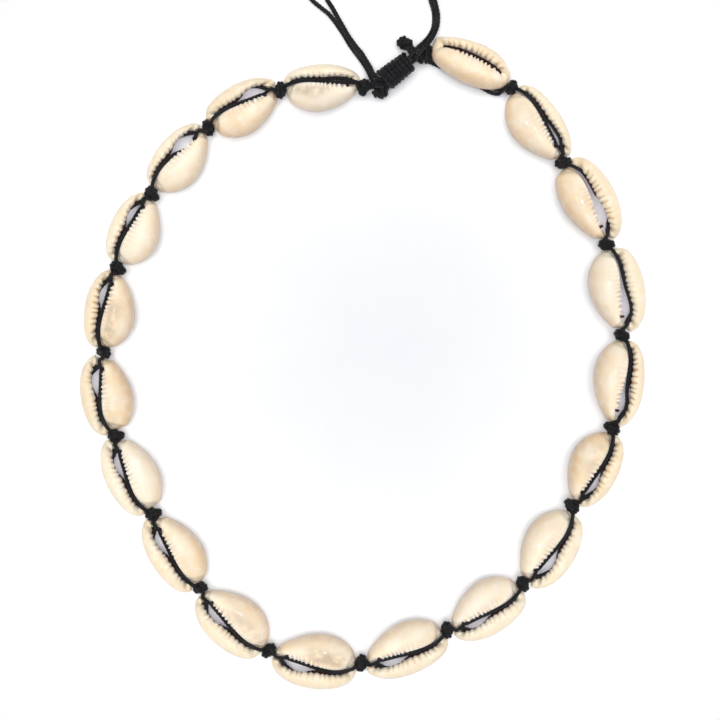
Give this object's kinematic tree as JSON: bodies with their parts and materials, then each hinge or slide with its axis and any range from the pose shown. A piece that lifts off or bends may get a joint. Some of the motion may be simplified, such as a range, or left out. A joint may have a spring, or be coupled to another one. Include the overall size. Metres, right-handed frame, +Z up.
{
  "type": "cowrie shell choker",
  "caption": "Choker of sliced cowrie shells threaded on a doubled black cord, knotted between the shells, with a sliding knot closure and loose cord ends.",
  "frame": {"origin": "the middle of the loop on the surface that the shells' cut backs rest on", "axes": "+X to the right and +Y to the sliding knot as seen from above, +Z up, the way the shells' slits face"},
  "size_m": [0.1246, 0.1652, 0.0064],
  "materials": {
    "shell": "glossy cowrie enamel, ivory to peach",
    "cord": "black waxed braided cord"
  },
  "bodies": {
    "root": {"shell_01": "shell", "shell_02": "shell", "shell_03": "shell", "shell_04": "shell", "shell_05": "shell", "shell_06": "shell", "shell_07": "shell", "shell_08": "shell", "shell_09": "shell", "shell_10": "shell", "shell_11": "shell", "shell_12": "shell", "shell_13": "shell", "shell_14": "shell", "shell_15": "shell", "shell_16": "shell", "shell_17": "shell", "shell_18": "shell", "shell_19": "shell", "cord_01": "cord", "cord_02": "cord", "cord_03": "cord", "cord_04": "cord", "cord_05": "cord", "cord_06": "cord", "cord_07": "cord", "cord_08": "cord", "cord_09": "cord", "cord_10": "cord", "cord_11": "cord", "cord_12": "cord", "cord_13": "cord", "cord_14": "cord", "cord_15": "cord", "cord_16": "cord", "cord_17": "cord", "cord_18": "cord", "cord_19": "cord", "cord_20": "cord", "sliding_knot": "cord", "stopper_knot": "cord", "cut_end_knot": "cord", "tail_left_a": "cord", "tail_left_b": "cord", "tail_right_a": "cord", "tail_right_b": "cord", "tail_knot_left_a": "cord", "tail_knot_left_b": "cord", "tail_knot_right": "cord"}
  },
  "joints": []
}
